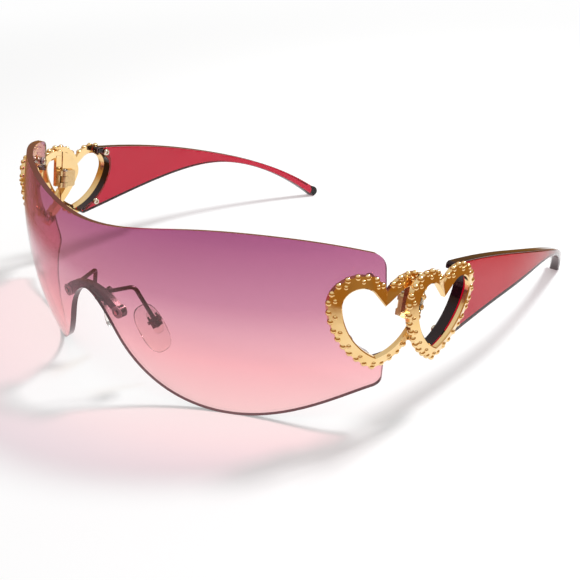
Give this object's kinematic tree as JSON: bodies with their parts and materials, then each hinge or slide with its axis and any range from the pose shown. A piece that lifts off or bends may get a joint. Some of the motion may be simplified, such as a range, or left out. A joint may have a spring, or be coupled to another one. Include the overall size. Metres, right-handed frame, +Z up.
{
  "type": "shield sunglasses with heart hinges",
  "caption": "Wraparound one-piece lens with linked heart-shaped end pieces that carry the hinges, folding tapered temples and an arched nose bridge with rocking soft pads",
  "frame": {"origin": "centre of the bounding box in plan, on the table under the lens and the temple tips", "axes": "+Z up from the table, the lens faces -Y, the wearer's left side is +X"},
  "size_m": [0.1514, 0.1516, 0.0515],
  "materials": {
    "lens": "glossy tinted, darker at the top",
    "gold": "polished light gold plate",
    "temple": "glossy translucent burgundy",
    "nickel": "polished nickel",
    "steel": "bright",
    "washer": "clear nylon",
    "pad": "clear soft silicone"
  },
  "bodies": {
    "front": {"shield_lens": "lens", "bridge_bar": "nickel", "bridge_screws": "steel", "bridge_gaskets": "washer", "pad_arm_left": "nickel", "pad_arm_right": "nickel", "pad_box_left": "nickel", "pad_box_right": "nickel", "pad_screw_left": "steel", "pad_screw_right": "steel", "front_heart_left": "gold", "front_heart_right": "gold", "lens_screws_left": "steel", "lens_screws_right": "steel", "lens_washers_left": "washer", "lens_washers_right": "washer", "hinge_front_leaf_left": "gold", "hinge_front_leaf_right": "gold", "hinge_screw_left": "steel", "hinge_screw_right": "steel"},
    "temple_arm_left": {"rear_heart_left": "gold", "hinge_rear_leaf_left": "gold", "temple_left": "temple", "temple_screws_left": "steel"},
    "temple_arm_right": {"rear_heart_right": "gold", "hinge_rear_leaf_right": "gold", "temple_right": "temple", "temple_screws_right": "steel"},
    "pad_left": {"nose_pad_left": "pad", "pad_core_left": "washer"},
    "pad_right": {"nose_pad_right": "pad", "pad_core_right": "washer"}
  },
  "joints": [
    {"name": "fold_left", "type": "hinge", "parent": "front", "child": "temple_arm_left", "pos_m": [0.06895, -0.0325, 0.0314], "axis": [0, 0.1736, 0.9848], "range_deg": [0, 95]},
    {"name": "fold_right", "type": "hinge", "parent": "front", "child": "temple_arm_right", "pos_m": [-0.06895, -0.0325, 0.0314], "axis": [0, -0.1736, -0.9848], "range_deg": [0, 79]},
    {"name": "pad_rock_left", "type": "hinge", "parent": "front", "child": "pad_left", "pos_m": [0.0113, -0.06282, 0.0187], "axis": [0.3796, 0.8505, 0.3641], "range_deg": [-8, 8]},
    {"name": "pad_rock_right", "type": "hinge", "parent": "front", "child": "pad_right", "pos_m": [-0.0113, -0.06282, 0.0187], "axis": [-0.3796, 0.8505, 0.3641], "range_deg": [-8, 8]}
  ]
}
